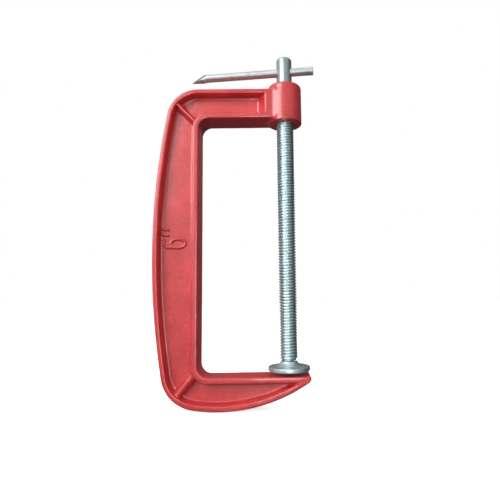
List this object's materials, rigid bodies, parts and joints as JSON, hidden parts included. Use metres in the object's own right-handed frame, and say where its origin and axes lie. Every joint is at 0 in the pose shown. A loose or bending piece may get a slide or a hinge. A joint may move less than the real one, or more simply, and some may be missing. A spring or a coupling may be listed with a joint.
{
  "type": "g-clamp",
  "caption": "Cast C-shaped clamp frame with an anvil and a threaded boss. A screw with a sliding bar and a swivel pad closes on the anvil to grip work between them.",
  "frame": {"origin": "middle of the anvil face, on the axis of the screw", "axes": "+Z along the screw, from the anvil towards the head; +X from the spine towards the open side; +Y completes the set"},
  "size_m": [0.1042, 0.026, 0.2268],
  "materials": {
    "frame": "gloss red enamel over a sand-cast iron surface",
    "screw": "bright zinc plate, rolled thread",
    "tommy_bar": "bright zinc plate",
    "swivel_pad": "bright zinc plate, turned"
  },
  "bodies": {
    "frame": {"frame": "frame"},
    "pad": {"swivel_pad": "swivel_pad"},
    "screw": {"screw": "screw"},
    "bar": {"tommy_bar": "tommy_bar"}
  },
  "joints": [
    {"name": "jaw_travel", "type": "slide", "parent": "frame", "child": "pad", "axis": [0, 0, 1], "range_m": [-0.0022, 0.15]},
    {"name": "screw_turn", "type": "hinge", "parent": "pad", "child": "screw", "pos_m": [0, 0, 0.1], "axis": [0, 0, 1], "range_deg": [-436, 29760]},
    {"name": "bar_slide", "type": "slide", "parent": "screw", "child": "bar", "axis": [0.9925, -0.1219, 0], "range_m": [-0.0075, 0.046]}
  ],
  "couplings": [
    {"joint": "jaw_travel", "follows": "screw_turn", "m_per_rad": 0.00028875}
  ]
}
